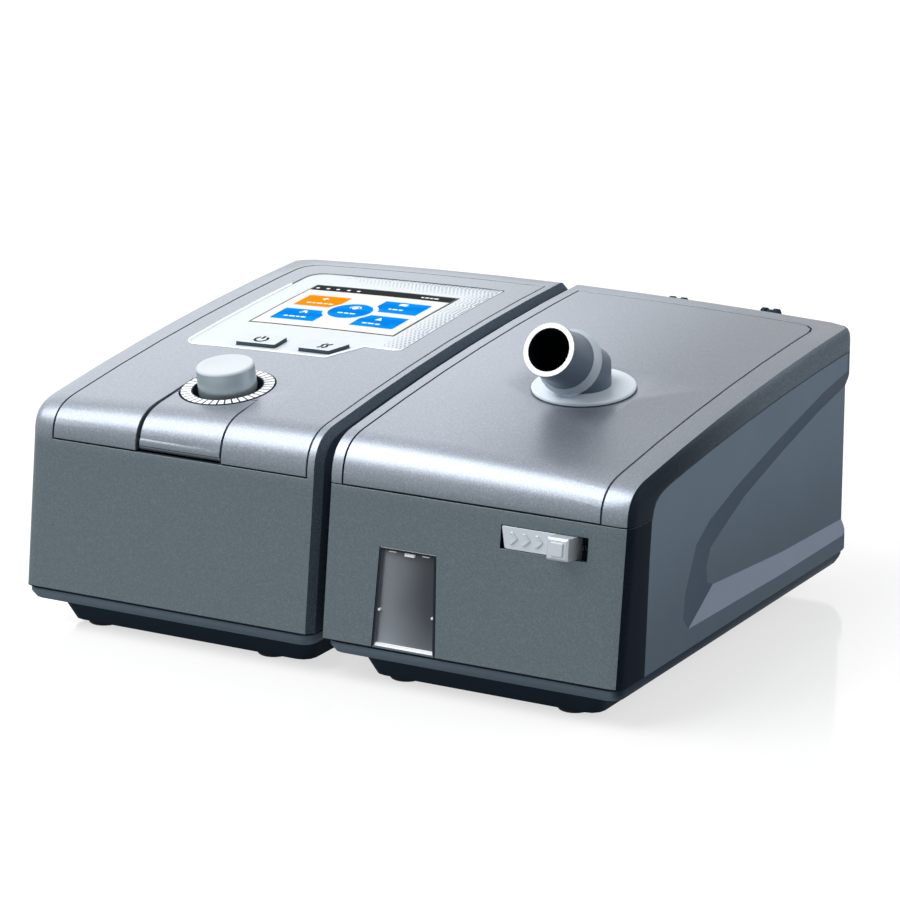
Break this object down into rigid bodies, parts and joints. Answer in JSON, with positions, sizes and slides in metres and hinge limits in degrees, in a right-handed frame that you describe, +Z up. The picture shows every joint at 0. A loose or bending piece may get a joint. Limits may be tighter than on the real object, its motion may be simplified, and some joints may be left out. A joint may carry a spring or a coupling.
{
  "type": "bilevel positive airway pressure machine",
  "caption": "Bilevel airway pressure machine: a flow generator with screen, keys and selector knob, docked to a heated humidifier with a hinged lid and a swivelling outlet elbow.",
  "frame": {"origin": "on the floor, under the centre of the bounding box", "axes": "+X to the object's right as seen from the front, across both units; -Y out of the front face; +Z up"},
  "size_m": [0.2828, 0.237, 0.1412],
  "materials": {
    "silver_paint": "silver metallic paint on plastic",
    "graphite_paint": "graphite metallic paint on plastic",
    "slate_plastic": "satin moulded",
    "dark_plastic": "matte moulded",
    "white_plastic": "satin white",
    "grey_plastic": "light grey gloss",
    "satin_metal": "satin metallised plastic",
    "steel": "plain",
    "rubber": "matte",
    "silicone": "soft matte",
    "clear_plastic": "clear",
    "screen_glass": "gloss",
    "circuit_board": "lacquered",
    "foam": "open foam"
  },
  "bodies": {
    "machine": {"blower_base": "dark_plastic", "blower_foot_1": "rubber", "blower_foot_2": "rubber", "blower_foot_3": "rubber", "blower_foot_4": "rubber", "blower_housing": "silver_paint", "top_cover": "silver_paint", "display_bezel": "white_plastic", "screen_window": "screen_glass", "display_module": "steel", "control_board": "circuit_board", "power_switch": "dark_plastic", "mode_switch": "dark_plastic", "dial_ring": "dark_plastic", "encoder_body": "steel", "card_reader": "steel", "blower_mat": "silicone", "motor_body": "steel", "blower_casing": "grey_plastic", "casing_cover": "grey_plastic", "outlet_duct": "silicone", "air_filter": "foam", "filter_cover": "slate_plastic", "power_socket": "dark_plastic", "humidifier_base": "dark_plastic", "humidifier_foot_1": "rubber", "humidifier_foot_2": "rubber", "humidifier_foot_3": "rubber", "humidifier_foot_4": "rubber", "humidifier_housing": "graphite_paint", "side_panel": "slate_plastic", "well_liner": "dark_plastic", "heater_plate": "steel", "water_tub": "clear_plastic", "tub_cover": "clear_plastic", "inlet_elbow": "silicone", "water_window": "clear_plastic", "latch_carrier": "dark_plastic", "latch_spring": "steel", "hinge_pin_left": "steel", "hinge_pin_right": "steel", "docking_tongue_front": "dark_plastic", "docking_tongue_rear": "dark_plastic"},
    "door": {"card_door": "silver_paint"},
    "power_key": {"power_button": "white_plastic"},
    "mode_key": {"mode_button": "white_plastic"},
    "plunger": {"push_plunger": "steel"},
    "knob": {"selector_knob": "satin_metal", "encoder_shaft": "steel"},
    "fan": {"impeller": "white_plastic", "motor_shaft": "steel"},
    "latch": {"latch_slider": "satin_metal"},
    "lid": {"lid_frame": "silver_paint", "lid_panel": "silver_paint", "outlet_seal": "silicone"},
    "elbow": {"outlet_elbow": "grey_plastic", "elbow_retainer": "steel"}
  },
  "joints": [
    {"name": "card_door_hinge", "type": "hinge", "parent": "machine", "child": "door", "pos_m": [-0.06645, -0.10485, 0.0842], "axis": [1, 0, 0], "range_deg": [0, 95]},
    {"name": "power_key_travel", "type": "slide", "parent": "machine", "child": "power_key", "axis": [0, 0, -1], "range_m": [0, 0.001], "stiffness_N_per_m": 300, "springref_m": -0.002},
    {"name": "mode_key_travel", "type": "slide", "parent": "machine", "child": "mode_key", "axis": [0, 0, -1], "range_m": [0, 0.001], "stiffness_N_per_m": 300, "springref_m": -0.002},
    {"name": "knob_press", "type": "slide", "parent": "machine", "child": "plunger", "axis": [0.0261, 0.142, -0.9895], "range_m": [0, 0.0006], "stiffness_N_per_m": 500, "springref_m": -0.002},
    {"name": "knob_turn", "type": "hinge", "parent": "plunger", "child": "knob", "pos_m": [-0.0674, -0.06915, 0.10198], "axis": [-0.0261, -0.142, 0.9895], "continuous": true},
    {"name": "fan_spin", "type": "hinge", "parent": "machine", "child": "fan", "pos_m": [-0.088, 0.02365, 0.0326], "axis": [0, 0, 1], "continuous": true},
    {"name": "latch_slide", "type": "slide", "parent": "machine", "child": "latch", "axis": [1, 0, 0], "range_m": [0, 0.0045], "stiffness_N_per_m": 200, "springref_m": -0.005, "deforming": ["latch_spring"]},
    {"name": "lid_hinge", "type": "hinge", "parent": "machine", "child": "lid", "pos_m": [0.075, 0.11425, 0.1129], "axis": [-1, 0, 0], "range_deg": [0, 100]},
    {"name": "elbow_swivel", "type": "hinge", "parent": "lid", "child": "elbow", "pos_m": [0.0739, -0.01825, 0.10858], "axis": [0.0257, -0.1135, 0.9932], "continuous": true}
  ]
}
